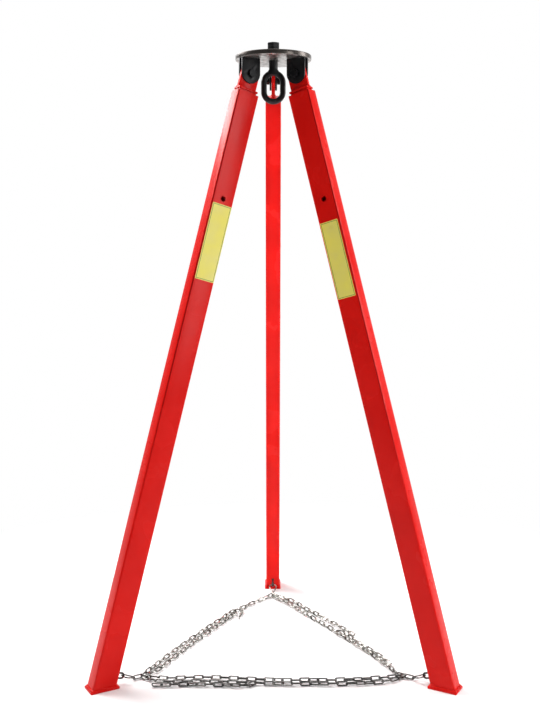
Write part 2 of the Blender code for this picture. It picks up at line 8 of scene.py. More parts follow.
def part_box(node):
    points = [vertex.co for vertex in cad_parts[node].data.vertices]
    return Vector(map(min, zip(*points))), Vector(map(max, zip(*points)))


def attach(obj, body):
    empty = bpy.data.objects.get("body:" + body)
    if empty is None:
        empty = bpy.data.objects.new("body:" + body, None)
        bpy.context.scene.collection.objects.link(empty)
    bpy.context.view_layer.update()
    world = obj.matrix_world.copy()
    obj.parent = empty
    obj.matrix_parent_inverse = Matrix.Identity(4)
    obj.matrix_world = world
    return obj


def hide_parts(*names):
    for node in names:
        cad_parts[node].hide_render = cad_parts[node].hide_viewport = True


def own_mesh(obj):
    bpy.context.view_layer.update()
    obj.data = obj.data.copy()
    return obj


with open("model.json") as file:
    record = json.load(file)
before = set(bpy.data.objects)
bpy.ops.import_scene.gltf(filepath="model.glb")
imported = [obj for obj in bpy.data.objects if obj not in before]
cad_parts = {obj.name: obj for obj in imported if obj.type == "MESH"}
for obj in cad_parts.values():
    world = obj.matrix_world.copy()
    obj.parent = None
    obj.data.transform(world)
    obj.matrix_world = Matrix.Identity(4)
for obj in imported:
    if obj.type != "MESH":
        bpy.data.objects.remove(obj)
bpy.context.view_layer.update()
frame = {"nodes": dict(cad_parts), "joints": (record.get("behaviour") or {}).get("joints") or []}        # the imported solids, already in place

joints = {joint["name"]: joint for joint in frame["joints"]}
legNames = ("left", "right", "rear")
axisPoint = Vector(joints["swivel_turn"]["pos_m"])
gap = 0.0003        # play between pieces that touch
hair = 0.00001        # tells two places on a mesh apart
through = 0.1        # longer than any piece is thick, for the rods that cut holes
squareOn = 0.9        # a face square to Z has more than this of it in its normal
crosswise = (math.pi / 2, 0, 0)        # lays a rod along Y
print("frame loaded:", len(frame["nodes"]), "nodes")


# Places read from the joints
def pinPlace(leg, up):
    # Origin on the hinge, X away from the axis, Y along the pin, Z along up
    pin = Vector(joints["leg_fold_" + leg]["axis"])
    turn = Matrix((pin.cross(up), pin, up)).transposed().to_4x4()
    return Matrix.Translation(joints["leg_fold_" + leg]["pos_m"]) @ turn


def legPlace(leg):
    # Z up along the leg
    return pinPlace(leg, -Vector(joints["leg_slide_" + leg]["axis"]))


def hingePlace(leg):
    # Z straight up
    return pinPlace(leg, Vector((0, 0, 1)))


def axisPlace(height):
    return Matrix.Translation((axisPoint.x, axisPoint.y, height))


splay = math.acos(-Vector(joints["leg_slide_left"]["axis"]).z)
hingeHeight = joints["leg_fold_left"]["pos_m"][2]


# Small modelling tools
def makeActive(obj):
    bpy.ops.object.select_all(action="DESELECT")
    obj.select_set(True)
    bpy.context.view_layer.objects.active = obj


def applyPlace(obj):
    makeActive(obj)
    bpy.ops.object.transform_apply(location=True, rotation=True, scale=True)
    return obj


def addBlock(size, centre=(0, 0, 0)):
    bpy.ops.mesh.primitive_cube_add(size=1, location=centre, scale=size)
    return applyPlace(bpy.context.object)


def addRod(radius, length, centre=(0, 0, 0), turn=(0, 0, 0), sides=48):
    bpy.ops.mesh.primitive_cylinder_add(
        vertices=sides, radius=radius, depth=length, location=centre, rotation=turn
    )
    return applyPlace(bpy.context.object)


def addObject(name, data):
    obj = bpy.data.objects.new(name, data)
    bpy.context.scene.collection.objects.link(obj)
    return obj


def enterEdit():
    bpy.ops.object.mode_set(mode="EDIT")


def leaveEdit():
    bpy.ops.object.mode_set(mode="OBJECT")


def selectNothing(obj, kind):
    makeActive(obj)
    enterEdit()
    bpy.ops.mesh.select_mode(type=kind)
    bpy.ops.mesh.select_all(action="DESELECT")
    leaveEdit()


def editEdges(obj, wanted):
    # Into edit mode with the edges selected whose two ends pass the test
    selectNothing(obj, "EDGE")
    points = obj.data.vertices
    for edge in obj.data.edges:
        first, second = (points[index].co for index in edge.vertices)
        edge.select = wanted(first, second)
    enterEdit()


def editFaces(obj, wanted):
    selectNothing(obj, "FACE")
    for face in obj.data.polygons:
        face.select = wanted(face)
    enterEdit()


def roundEdges(obj, wanted, width, segments=4):
    editEdges(obj, wanted)
    bpy.ops.mesh.bevel(offset=width, segments=segments, affect="EDGES")
    leaveEdit()


def upright(first, second):
    return abs(first.x - second.x) < hair and abs(first.y - second.y) < hair


def applyShape(obj, kind, **settings):
    makeActive(obj)
    modifier = obj.modifiers.new(kind.title(), kind)
    for setting, value in settings.items():
        setattr(modifier, setting, value)
    bpy.ops.object.modifier_apply(modifier=modifier.name)


def combine(obj, other, operation="DIFFERENCE"):
    applyShape(obj, "BOOLEAN", operation=operation, solver="EXACT", object=other)
    bpy.data.objects.remove(other, do_unlink=True)


def soften(obj, width, segments=2, angle=35):
    applyShape(
        obj, "BEVEL", width=width, segments=segments, limit_method="ANGLE", angle_limit=math.radians(angle)
    )


def mergeDoubles(obj):
    makeActive(obj)
    enterEdit()
    bpy.ops.mesh.select_all(action="SELECT")
    bpy.ops.mesh.remove_doubles(threshold=hair)
    bpy.ops.mesh.normals_make_consistent(inside=False)
    leaveEdit()


def joinAll(pieces):
    bpy.ops.object.select_all(action="DESELECT")
    for piece in pieces:
        piece.select_set(True)
    bpy.context.view_layer.objects.active = pieces[0]
    bpy.ops.object.join()
    return pieces[0]


def bentRod(points, radius, closed, sides=6, swell=None):
    # A rod bent along points; swell gives its thickness at each point
    curve = bpy.data.curves.new("rod", "CURVE")
    curve.dimensions = "3D"
    curve.bevel_depth = radius
    curve.bevel_resolution = sides
    curve.use_fill_caps = True
    spline = curve.splines.new("POLY")
    spline.points.add(len(points) - 1)
    for index, point in enumerate(points):
        spline.points[index].co = (*point, 1)
        spline.points[index].radius = swell[index] if swell else 1
    spline.use_cyclic_u = closed
    makeActive(addObject("rod", curve))
    bpy.ops.object.convert(target="MESH")
    rod = bpy.context.object
    mergeDoubles(rod)
    return rod


def arcPoints(centre, radius, start, end, steps):
    angles = [math.radians(start + (end - start) * step / steps) for step in range(steps + 1)]
    return [(centre[0] + radius * math.cos(a), centre[1] + radius * math.sin(a)) for a in angles]


def finishPiece(obj, name, place, body, nodes, finish, angle=35):
    # A finish is the record's material slot and the material that shows it
    slotName, material = finish
    obj.matrix_world = place @ obj.matrix_world
    applyPlace(obj)
    bpy.ops.object.shade_smooth_by_angle(angle=math.radians(angle))
    obj.name = name
    obj.data.name = name
    obj.data.materials.clear()
    obj.data.materials.append(material)
    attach(obj, body)
    if nodes:
        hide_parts(*nodes)
    return obj


def finishNode(obj, node, place, body, finish, angle=35):
    # A piece that stands for one node and takes its name
    return finishPiece(obj, node + "_piece", place, body, [node], finish, angle)


# Materials
mixShare, mixFirst, mixSecond, mixResult = 0, 6, 7, 2        # sockets of a colour mix
noiseLow, noiseHigh = 0.3, 0.7        # a noise lies mostly between these


def newMaterial(name):
    material = bpy.data.materials.new(name)
    material.use_nodes = True
    tree = material.node_tree
    place = tree.nodes.new("ShaderNodeTexCoord")
    return material, tree, tree.nodes["Principled BSDF"], place


def addNoise(tree, place, scale, detail=3):
    noise = tree.nodes.new("ShaderNodeTexNoise")
    noise.inputs["Scale"].default_value = scale
    noise.inputs["Detail"].default_value = detail
    tree.links.new(place.outputs["Object"], noise.inputs["Vector"])
    return noise.outputs["Fac"]


def addRamp(tree, source, stops, *colours):
    ramp = tree.nodes.new("ShaderNodeValToRGB")
    tree.links.new(source, ramp.inputs["Fac"])
    for element, position, colour in zip(ramp.color_ramp.elements, stops, colours):
        element.position = position
        element.color = (*colour, 1)
    return ramp.outputs["Color"]


def addSpan(tree, source, low, high, first=0, last=1, interpolation="SMOOTHSTEP"):
    span = tree.nodes.new("ShaderNodeMapRange")
    span.interpolation_type = interpolation
    tree.links.new(source, span.inputs["Value"])
    span.inputs["From Min"].default_value = low
    span.inputs["From Max"].default_value = high
    span.inputs["To Min"].default_value = first
    span.inputs["To Max"].default_value = last
    return span.outputs["Result"]


def setInput(tree, socket, value):
    # A number or a colour is set, and another node's output is linked
    if isinstance(value, tuple):
        socket.default_value = (*value, 1)
    elif isinstance(value, (int, float)):
        socket.default_value = value
    else:
        tree.links.new(value, socket)


def addMix(tree, share, first, second):
    mix = tree.nodes.new("ShaderNodeMix")
    mix.data_type = "RGBA"
    setInput(tree, mix.inputs[mixShare], share)
    setInput(tree, mix.inputs[mixFirst], first)
    setInput(tree, mix.inputs[mixSecond], second)
    return mix.outputs[mixResult]


def addMath(tree, operation, first, second=0):
    node = tree.nodes.new("ShaderNodeMath")
    node.operation = operation
    setInput(tree, node.inputs[0], first)
    setInput(tree, node.inputs[1], second)
    return node.outputs["Value"]


def splitPlace(tree, place, kind):
    split = tree.nodes.new("ShaderNodeSeparateXYZ")
    tree.links.new(place.outputs[kind], split.inputs["Vector"])
    return split


def addSheen(tree, shader, noise, first, last):
    roughness = addSpan(tree, noise, noiseLow, noiseHigh, first, last, "LINEAR")
    tree.links.new(roughness, shader.inputs["Roughness"])


def addBump(tree, shader, heights, strength, depth):
    bump = tree.nodes.new("ShaderNodeBump")
    bump.inputs["Strength"].default_value = strength
    bump.inputs["Distance"].default_value = depth
    tree.links.new(heights, bump.inputs["Height"])
    tree.links.new(bump.outputs["Normal"], shader.inputs["Normal"])


def addGrain(tree, shader, place, look, kind, detail):
    # Fine bumps of one kind, with the values that the look gives for it
    noise = addNoise(tree, place, look[kind + "Scale"], detail)
    addBump(tree, shader, noise, look[kind + "Strength"], look[kind + "Depth"])


def makeRedPaint():
    # Gloss powder coat with a faint orange peel, darkened with painted shade where the corner attribute
    # marks the outer corners
    look = {
        "deep": (0.640, 0.0058, 0.0036),
        "bright": (0.700, 0.0080, 0.0052),
        "stops": (0.35, 0.65),
        "cornerShade": (0.340, 0.0042, 0.0036),
        "shadeFrom": 0.22,
        "shadeFull": 0.55,
        "cloudScale": 9,
        "peelScale": 420,
        "peelStrength": 0.10,
        "peelDepth": 0.0004,
        "smoothest": 0.20,
        "roughest": 0.30,
        "specular": 0.12,
    }
    material, tree, shader, place = newMaterial("red_powder_coat")
    cloud = addNoise(tree, place, look["cloudScale"])
    coat = addRamp(tree, cloud, look["stops"], look["deep"], look["bright"])
    # Painted shade: the corner attribute mixes in the darker cornerShade colour
    corner = tree.nodes.new("ShaderNodeAttribute")
    corner.attribute_name = "corner"
    cornerShade = addSpan(tree, corner.outputs["Fac"], look["shadeFrom"], look["shadeFull"])
    tree.links.new(addMix(tree, cornerShade, coat, look["cornerShade"]), shader.inputs["Base Color"])
    addSheen(tree, shader, cloud, look["smoothest"], look["roughest"])
    shader.inputs["Specular IOR Level"].default_value = look["specular"]
    addGrain(tree, shader, place, look, "peel", detail=1)
    return "red_paint", material


def makeMottled(name, look):
    # A clouded colour whose sheen follows the clouds, under a fine grain
    material, tree, shader, place = newMaterial(name)
    mottle = addNoise(tree, place, look["mottleScale"])
    colour = addRamp(tree, mottle, look["stops"], look["dark"], look["light"])
    tree.links.new(colour, shader.inputs["Base Color"])
    addSheen(tree, shader, mottle, look["smoothest"], look["roughest"])
    shader.inputs["Specular IOR Level"].default_value = look["specular"]
    shader.inputs["Metallic"].default_value = look["metallic"]
    addGrain(tree, shader, place, look, "grain", look["grainDetail"])
    return "black_oxide", material


# Black forgings and plates
blackLook = {
    "dark": (0.0035, 0.0036, 0.0042),
    "light": (0.0085, 0.0088, 0.0100),
    "stops": (0.3, 0.7),
    "specular": 0.22,
    "metallic": 0,
    "mottleScale": 60,
    "grainScale": 700,
    "grainDetail": 2,
    "grainStrength": 0.16,
    "grainDepth": 0.0004,
    "smoothest": 0.30,
    "roughest": 0.46,
}
# Bare bright-drawn rod that has gone dark, with a hard shine
darkLook = {
    "dark": (0.030, 0.028, 0.028),
    "light": (0.110, 0.104, 0.100),
    "stops": (0.35, 0.7),
    "specular": 0.5,
    "metallic": 0.9,
    "mottleScale": 130,
    "grainScale": 1300,
    "grainDetail": 1,
    "grainStrength": 0.10,
    "grainDepth": 0.0002,
    "smoothest": 0.18,
    "roughest": 0.34,
}


def makeDiscSteel(underside):
    # A dark turned rim, and an underside of the same steel painted paler with darker blotches, as a painted
    # reflection of the white floor
    look = {
        "rimDark": (0.055, 0.048, 0.044),
        "rimLight": (0.125, 0.108, 0.098),
        "rimStops": (0.3, 0.7),
        "underReflectDark": (0.230, 0.205, 0.190),
        "underReflectLight": (0.600, 0.580, 0.560),
        "underReflectStops": (0.36, 0.60),
        "mottleScale": 28,
        "reflectBlotchScale": 62,
        "edge": 0.0006,
        "metallic": 0.85,
        "roughness": 0.30,
        "ringScale": 900,
        "ringStrength": 0.12,
        "ringDepth": 0.0003,
    }
    material, tree, shader, place = newMaterial("turned_disc_steel")
    mottle = addNoise(tree, place, look["mottleScale"])
    rim = addRamp(tree, mottle, look["rimStops"], look["rimDark"], look["rimLight"])
    # Painted reflection: the floor's white with darker blotches, on the underside only
    reflectBlotches = addNoise(tree, place, look["reflectBlotchScale"], detail=5)
    under = addRamp(tree, reflectBlotches, look["underReflectStops"], look["underReflectDark"], look["underReflectLight"])
    height = splitPlace(tree, place, "Object").outputs["Z"]
    below = addMath(tree, "LESS_THAN", height, underside + look["edge"])
    tree.links.new(addMix(tree, below, rim, under), shader.inputs["Base Color"])
    shader.inputs["Metallic"].default_value = look["metallic"]
    shader.inputs["Roughness"].default_value = look["roughness"]
    centre = tree.nodes.new("ShaderNodeMapping")
    centre.inputs["Location"].default_value = (-axisPoint.x, -axisPoint.y, 0)
    tree.links.new(place.outputs["Object"], centre.inputs["Vector"])
    rings = tree.nodes.new("ShaderNodeTexWave")
    rings.wave_type = "RINGS"
    rings.rings_direction = "Z"
    rings.inputs["Scale"].default_value = look["ringScale"]
    tree.links.new(centre.outputs["Vector"], rings.inputs["Vector"])
    addBump(tree, shader, rings.outputs["Fac"], look["ringStrength"], look["ringDepth"])
    return "disc_steel", material


def makeZincSteel():
    # Zinc plate, dull in the front run and painted paler towards the back, as though the back runs were
    # better lit
    look = {
        "dull": (0.045, 0.043, 0.040),
        "bright": (0.200, 0.195, 0.188),
        "stops": (0.3, 0.62),
        "paintedLitDull": (0.150, 0.140, 0.122),
        "paintedLitBright": (0.560, 0.550, 0.515),
        "paintedLitStops": (0.4, 0.55),
        "paintedLitFrom": -0.185,
        "paintedLitTo": -0.120,
        "patchScale": 120,
        "metallic": 1,
        "smoothest": 0.22,
        "roughest": 0.42,
        "grainScale": 1500,
        "grainStrength": 0.10,
        "grainDepth": 0.0002,
    }
    material, tree, shader, place = newMaterial("zinc_plated_wire")
    patches = addNoise(tree, place, look["patchScale"], detail=4)
    front = addRamp(tree, patches, look["stops"], look["dull"], look["bright"])
    # Painted light: a paler copy of the same zinc for the runs towards the back
    back = addRamp(tree, patches, look["paintedLitStops"], look["paintedLitDull"], look["paintedLitBright"])
    depth = splitPlace(tree, place, "Object").outputs["Y"]
    first = axisPoint.y + look["paintedLitFrom"]
    last = axisPoint.y + look["paintedLitTo"]
    paintedLitShare = addSpan(tree, depth, first, last, interpolation="LINEAR")
    tree.links.new(addMix(tree, paintedLitShare, front, back), shader.inputs["Base Color"])
    addSheen(tree, shader, patches, look["roughest"], look["smoothest"])
    shader.inputs["Metallic"].default_value = look["metallic"]
    addGrain(tree, shader, place, look, "grain", detail=1)
    return "zinc_steel", material


redPaint = makeRedPaint()
blackFinish = makeMottled("black_forging", blackLook)
darkSteel = makeMottled("darkened_steel_rod", darkLook)
zincSteel = makeZincSteel()
print("materials made")


# Camera, where the photograph was taken from
def makeCamera():
    view = {
        "sideways": -0.0089,
        "distance": 2.6094,
        "height": 1.0966,
        "pitch": -3.27,
        "focalPixels": 979.6,
        "imageHeight": 720,
        "shiftPixels": -60,
        "sensor": 36,
        "nearest": 0.05,
        "furthest": 60,
    }
    data = bpy.data.cameras.new("camera")
    data.sensor_width = view["sensor"]
    data.lens = view["focalPixels"] / view["imageHeight"] * view["sensor"]
    data.shift_y = view["shiftPixels"] / view["imageHeight"]
    data.clip_start = view["nearest"]
    data.clip_end = view["furthest"]
    camera = addObject("camera", data)
    camera.location = (axisPoint.x + view["sideways"], axisPoint.y - view["distance"], view["height"])
    camera.rotation_euler = (math.radians(90 + view["pitch"]), 0, 0)
    bpy.context.scene.camera = camera


makeCamera()


# Head disc
def makeDisc():
    disc = {"radius": 0.0998, "thickness": 0.0118, "hole": 0.0105, "edge": 0.0012, "sides": 160}
    low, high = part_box("head_disc")
    plate = addRod(disc["radius"], disc["thickness"], sides=disc["sides"])
    combine(plate, addRod(disc["hole"], through))
    soften(plate, disc["edge"], segments=3, angle=50)
    place = axisPlace((low.z + high.z) / 2)
    finishPiece(plate, "disc_plate", place, "head", ["head_disc"], makeDiscSteel(low.z))


makeDisc()


# Hexagon heads and nuts, with their corners cut by a coned cylinder
hexagon = {"coneSides": 64, "coneSize": 1.001, "chamfer": 0.9}
thread = {"depthShare": 0.28, "sides": 32}


def hexagonBlock(acrossFlats, height, chamferBoth, centre=(0, 0, 0), chamfer=hexagon["chamfer"]):
    corner = acrossFlats / 2 / math.cos(math.pi / 6)
    block = addRod(corner, height, sides=6)
    cone = addRod(corner * hexagon["coneSize"], height, sides=hexagon["coneSides"])

    def isRim(a, b):
        atEnd = abs(a.z - b.z) < hair and abs(a.z) > height / 2 - hair
        return atEnd and (a.z > 0 or chamferBoth)

    roundEdges(cone, isRim, (corner - acrossFlats / 2) * chamfer, segments=1)
    combine(block, cone, "INTERSECT")
    block.location = centre
    return applyPlace(block)


def threadedRod(radius, length, pitch, centre):
    # A rod whose skin steps in and out like a thread, narrow at both ends
    turns = int(length / pitch)
    rod = addRod(radius, length, sides=thread["sides"])
    enterEdit()
    for cut in range(1, turns * 2):
        bpy.ops.mesh.select_all(action="SELECT")
        height = -length / 2 + length * cut / (turns * 2)
        bpy.ops.mesh.bisect(plane_co=(0, 0, height), plane_no=(0, 0, 1))
    leaveEdit()
    narrowing = (radius - pitch * thread["depthShare"]) / radius
    for vertex in rod.data.vertices:
        level = (vertex.co.z + length / 2) / length * turns * 2
        if round(level) % 2 == 0:
            vertex.co.x *= narrowing
            vertex.co.y *= narrowing
    rod.location = centre
    return applyPlace(rod)


# Hinges under the disc
hinge = {
    "cheekWidth": 0.0530,
    "cheekThickness": 0.0050,
    "cheekInner": 0.0050,
    "cheekSetOut": 0.0012,
    "cheekEdge": 0.0006,
    "boltHole": 0.0064,
    "boltShank": 0.0059,
    "headAcross": 0.0190,
    "headHeight": 0.0075,
    "nutHeight": 0.0080,
    "washerFace": 0.0006,
    "washerRadius": 0.00893,
    "washerSunk": 0.0002,
    "threadPitch": 0.00175,
    "threadLength": 0.0070,
    "threadMiddle": 0.0025,
}
headSide = {"left": 1, "right": -1, "rear": 1}
cheekWords = {
    "left": {1: "front", -1: "back"},
    "right": {-1: "front", 1: "back"},
    "rear": {1: "left", -1: "right"},
}


def makeCheek(leg, side, word):
    # A round plate cut across its middle and drawn up to the disc
    node = "cheek_" + leg + "_" + word
    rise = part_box(node)[1].z - hingeHeight
    setOut = (hinge["cheekSetOut"], 0, 0)
    plate = addRod(hinge["cheekWidth"] / 2, hinge["cheekThickness"], setOut, crosswise, sides=72)
    enterEdit()
    bpy.ops.mesh.select_all(action="SELECT")
    bpy.ops.mesh.bisect(plane_co=(0, 0, 0), plane_no=(0, 0, 1), clear_outer=True, use_fill=True)
    leaveEdit()
    editFaces(plate, lambda face: face.normal.z > squareOn and face.center.z > -hair)
    bpy.ops.mesh.extrude_region_move(TRANSFORM_OT_translate={"value": (0, 0, rise)})
    leaveEdit()
    combine(plate, addRod(hinge["boltHole"], through, turn=crosswise, sides=32))
    soften(plate, hinge["cheekEdge"], angle=40)
    offset = side * (hinge["cheekInner"] + hinge["cheekThickness"] / 2)
    place = hingePlace(leg) @ Matrix.Translation((0, offset, 0))
    finishPiece(plate, node + "_plate", place, "head", [node], blackFinish)


def makeHingeBolt(leg):
    side = headSide[leg]
    outer = hinge["cheekInner"] + hinge["cheekThickness"] + gap
    turn = Matrix.Rotation(-side * math.pi / 2, 4, "X")
    head = hexagonBlock(hinge["headAcross"], hinge["headHeight"], False, (0, 0, hinge["headHeight"] / 2))
    washerHeight = hinge["washerFace"] / 2 - hinge["washerSunk"]
    washer = addRod(hinge["washerRadius"], hinge["washerFace"], (0, 0, washerHeight))
    length = 2 * outer + hinge["nutHeight"]
    shank = addRod(hinge["boltShank"], length, (0, 0, -length / 2), sides=40)
    threadPlace = (0, 0, hinge["threadMiddle"] - length)
    end = threadedRod(hinge["boltShank"], hinge["threadLength"], hinge["threadPitch"], threadPlace)
    combine(shank, end, "UNION")
    combine(shank, washer, "UNION")
    combine(head, shank, "UNION")
    place = hingePlace(leg) @ Matrix.Translation((0, side * outer, 0)) @ turn
    finishNode(head, "hinge_bolt_" + leg, place, "head", blackFinish)

    nut = hexagonBlock(hinge["headAcross"], hinge["nutHeight"], True)
    combine(nut, addRod(hinge["boltHole"], through, sides=40))
    offset = -side * (outer + hinge["nutHeight"] / 2)
    place = hingePlace(leg) @ Matrix.Translation((0, offset, 0)) @ turn
    finishNode(nut, "hinge_nut_" + leg, place, "head", blackFinish)


for legName in legNames:
    for sideSign, sideWord in cheekWords[legName].items():
        makeCheek(legName, sideSign, sideWord)
    makeHingeBolt(legName)
print("head and hinges made")


# Swivel eye, forged in one piece
swivel = {
    "shank": 0.0097,
    "neck": 0.0116,
    "neckLength": 0.0225,
    "shoulder": 0.0215,
    "shoulderLength": 0.0150,
    "flatness": 0.50,
    "bar": 0.0077,
    "halfWidth": 0.0249,
    "straight": 0.0245,
    "centre": 1.5088,
    "overlap": 0.004,
    "voxel": 0.0007,
    "smoothing": 14,
    "shankSunk": 0.001,
    "plainShare": 0.50,
    "threadShare": 0.62,
    "threadPitch": 0.0025,
    "washer": 0.0184,
    "washerEdge": 0.0004,
    "nutAcross": 0.0299,
    "nutChamfer": 0.45,
    "nutPlay": 0.0007,
}


def makeEye():
    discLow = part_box("head_disc")[0].z
    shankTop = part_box("swivel_eye")[1].z
    neckTop = discLow - gap
    bpy.ops.mesh.primitive_torus_add(
        major_radius=swivel["halfWidth"],
        minor_radius=swivel["bar"],
        major_segments=72,
        minor_segments=24,
        rotation=crosswise,
    )
    loop = applyPlace(bpy.context.object)
    editFaces(loop, lambda face: face.center.z > 0)
    bpy.ops.transform.translate(value=(0, 0, swivel["straight"] / 2))
    leaveEdit()
    for vertex in loop.data.vertices:
        if vertex.co.z < 0:
            vertex.co.z -= swivel["straight"] / 2
    loop.location.z = swivel["centre"]
    applyPlace(loop)
    neckLength = swivel["neckLength"] + swivel["overlap"]
    neck = addRod(swivel["neck"], neckLength, (0, 0, neckTop - neckLength / 2))
    middle = neckTop - swivel["neckLength"] - swivel["shoulderLength"] / 2
    bpy.ops.mesh.primitive_cone_add(
        vertices=64,
        radius1=swivel["shoulder"],
        radius2=swivel["neck"],
        depth=swivel["shoulderLength"],
        location=(0, 0, middle),
    )
    shoulder = applyPlace(bpy.context.object)
    for vertex in shoulder.data.vertices:
        if vertex.co.z < middle:
            vertex.co.y *= swivel["flatness"]
    forging = joinAll([loop, neck, shoulder])
    applyShape(forging, "REMESH", mode="VOXEL", voxel_size=swivel["voxel"], adaptivity=0)
    applyShape(forging, "SMOOTH", factor=0.5, iterations=swivel["smoothing"])
    plain = (shankTop - neckTop) * swivel["plainShare"]
    threaded = (shankTop - neckTop) * swivel["threadShare"]
    shank = addRod(swivel["shank"], plain, (0, 0, neckTop + plain / 2 - swivel["shankSunk"]))
    end = threadedRod(swivel["shank"], threaded, swivel["threadPitch"], (0, 0, shankTop - threaded / 2))
    combine(shank, end, "UNION")
    eye = joinAll([forging, shank])
    finishPiece(eye, "eye_forging", axisPlace(0), "swivel", ["swivel_eye"], blackFinish, angle=50)


def makeSwivelNuts():
    hole = swivel["shank"] + swivel["nutPlay"]
    low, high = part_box("swivel_washer")
    washer = addRod(swivel["washer"], high.z - low.z, sides=64)
    combine(washer, addRod(hole, through))
    soften(washer, swivel["washerEdge"], angle=50)
    place = axisPlace((low.z + high.z) / 2)
    finishPiece(washer, "washer_ring", place, "swivel", ["swivel_washer"], blackFinish)
    for node in ("swivel_nut", "swivel_lock_nut"):
        low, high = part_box(node)
        nut = hexagonBlock(swivel["nutAcross"], high.z - low.z, True, chamfer=swivel["nutChamfer"])
        combine(nut, addRod(hole, through))
        finishNode(nut, node, axisPlace((low.z + high.z) / 2), "swivel", blackFinish)


makeEye()
makeSwivelNuts()
print("swivel made")


# Legs, measured along the leg from the hinge
tube = {
    "outerWidth": 0.061,
    "outerDepth": 0.042,
    "outerRounding": 0.0040,
    "outerTop": 0.0540,
    "innerWidth": 0.050,
    "innerDepth": 0.030,
    "innerRounding": 0.0035,
    "innerTop": 0.0483,
    "wall": 0.0025,
    "pinHole": 0.0070,
    "pinHoleBelowTop": 0.2845,
    "rowSpacing": 0.195,
    "rowCount": 7,
    "lowestHole": 0.0735,
    # The part of the corners' turn that takes painted shade
    "shadeFrom": 0.15,
    "shadeTo": 0.80,
    "shadeSide": 0.60,
}
hingePlate = {
    "width": 0.052,
    "thickness": 0.0094,
    "rounding": 0.0255,
    "corner": 0.002,
    "boltHole": 0.0067,
    "edge": 0.0005,
}
cap = {
    "top": 0.043,
    "thickness": 0.005,
    "width": 0.055,
    "depth": 0.034,
    "rounding": 0.003,
    "edge": 0.0008,
}
foot = {
    "thickness": 0.005,
    "length": 0.075,
    "width": 0.050,
    "setIn": 0.001,
    "corner": 0.0028,
    "edge": 0.0007,
}
weldShape = {"cornerSteps": 4, "rippleSteps": 4, "driftPerStep": 0.37, "driftShare": 0.5, "sides": 3}
hingeWeld = {
    "spare": 0.0010,
    "rounding": 0.0010,
    "rise": 0.0006,
    "radius": 0.0019,
    "ripple": 0.0042,
    "swing": 0.16,
}
footWeld = {
    "spare": 0.0012,
    "rounding": 0.0046,
    "rise": 0.0008,
    "radius": 0.0028,
    "ripple": 0.0046,
    "swing": 0.05,
}
tubeEnd = (hingeHeight - foot["thickness"] - gap) / math.cos(splay)


def addBoxTube(width, depth, rounding, top, bottom, levelEnd):
    # A block with rounded corners, opened at its ends and given a wall
    spare = width * math.tan(splay) if levelEnd else 0
    length = top - bottom + spare
    shell = addBlock((width, depth, length), (0, 0, top - length / 2))
    roundEdges(shell, upright, rounding, segments=6)
    editFaces(shell, lambda face: abs(face.normal.z) > squareOn)
    bpy.ops.mesh.delete(type="FACE")
    if levelEnd:
        bpy.ops.mesh.select_all(action="SELECT")
        level = (math.sin(splay), 0, math.cos(splay))
        bpy.ops.mesh.bisect(plane_co=(0, 0, bottom), plane_no=level, clear_inner=True)
    leaveEdit()
    applyShape(shell, "SOLIDIFY", thickness=tube["wall"], offset=-1, use_even_offset=True)
    return shell


def paintCornerShade(shell, width, depth, rounding):
    # Painted shade where the two outer corners turn, less so towards the foot
    shadeMarks = shell.data.attributes.new("corner", "FLOAT", "POINT")
    heights = [vertex.co.z for vertex in shell.data.vertices]
    middle = (min(heights) + max(heights)) / 2
    for mark, vertex in zip(shadeMarks.data, shell.data.vertices):
        out = (vertex.co.x - width / 2) / rounding + 1
        aside = (abs(vertex.co.y) - depth / 2) / rounding + 1
        turning = tube["shadeFrom"] < out < tube["shadeTo"] and aside > tube["shadeSide"]
        mark.value = 1 if turning and vertex.co.z > middle else 0


def drill(shell, height, sides):
    combine(shell, addRod(tube["pinHole"], through, (0, 0, height), crosswise, sides))


def rectanglePath(width, depth, rounding, height):
    corners = ((1, 1, 0), (-1, 1, 90), (-1, -1, 180), (1, -1, 270))
    path = []
    for sx, sy, start in corners:
        centre = (sx * (width / 2 - rounding), sy * (depth / 2 - rounding))
        path += arcPoints(centre, rounding, start, start + 90, weldShape["cornerSteps"])
    return [Vector((x, y, height)) for x, y in path]


def weldBead(weld, width, depth, height):
    # Evenly stepped points round a rectangle, with the rod's thickness rippling
    size = (width + weld["spare"], depth + weld["spare"])
    points = rectanglePath(*size, weld["rounding"], height + weld["rise"])
    lengths = [(b - a).length for a, b in zip(points, points[1:] + points[:1])]
    total = sum(lengths)
    count = int(total / weld["ripple"]) * weldShape["rippleSteps"]
    spaced = []
    swell = []
    for step in range(count):
        distance = total * step / count
        index = 0
        while distance > lengths[index]:
            distance -= lengths[index]
            index += 1
        following = points[(index + 1) % len(points)]
        spaced.append(points[index].lerp(following, distance / lengths[index]))
        ripple = math.sin(step * 2 * math.pi / weldShape["rippleSteps"])
        drift = math.sin(step * weldShape["driftPerStep"]) * weldShape["driftShare"]
        swell.append(1 + weld["swing"] * (ripple + drift))
    return bentRod(spaced, weld["radius"], closed=True, sides=weldShape["sides"], swell=swell)


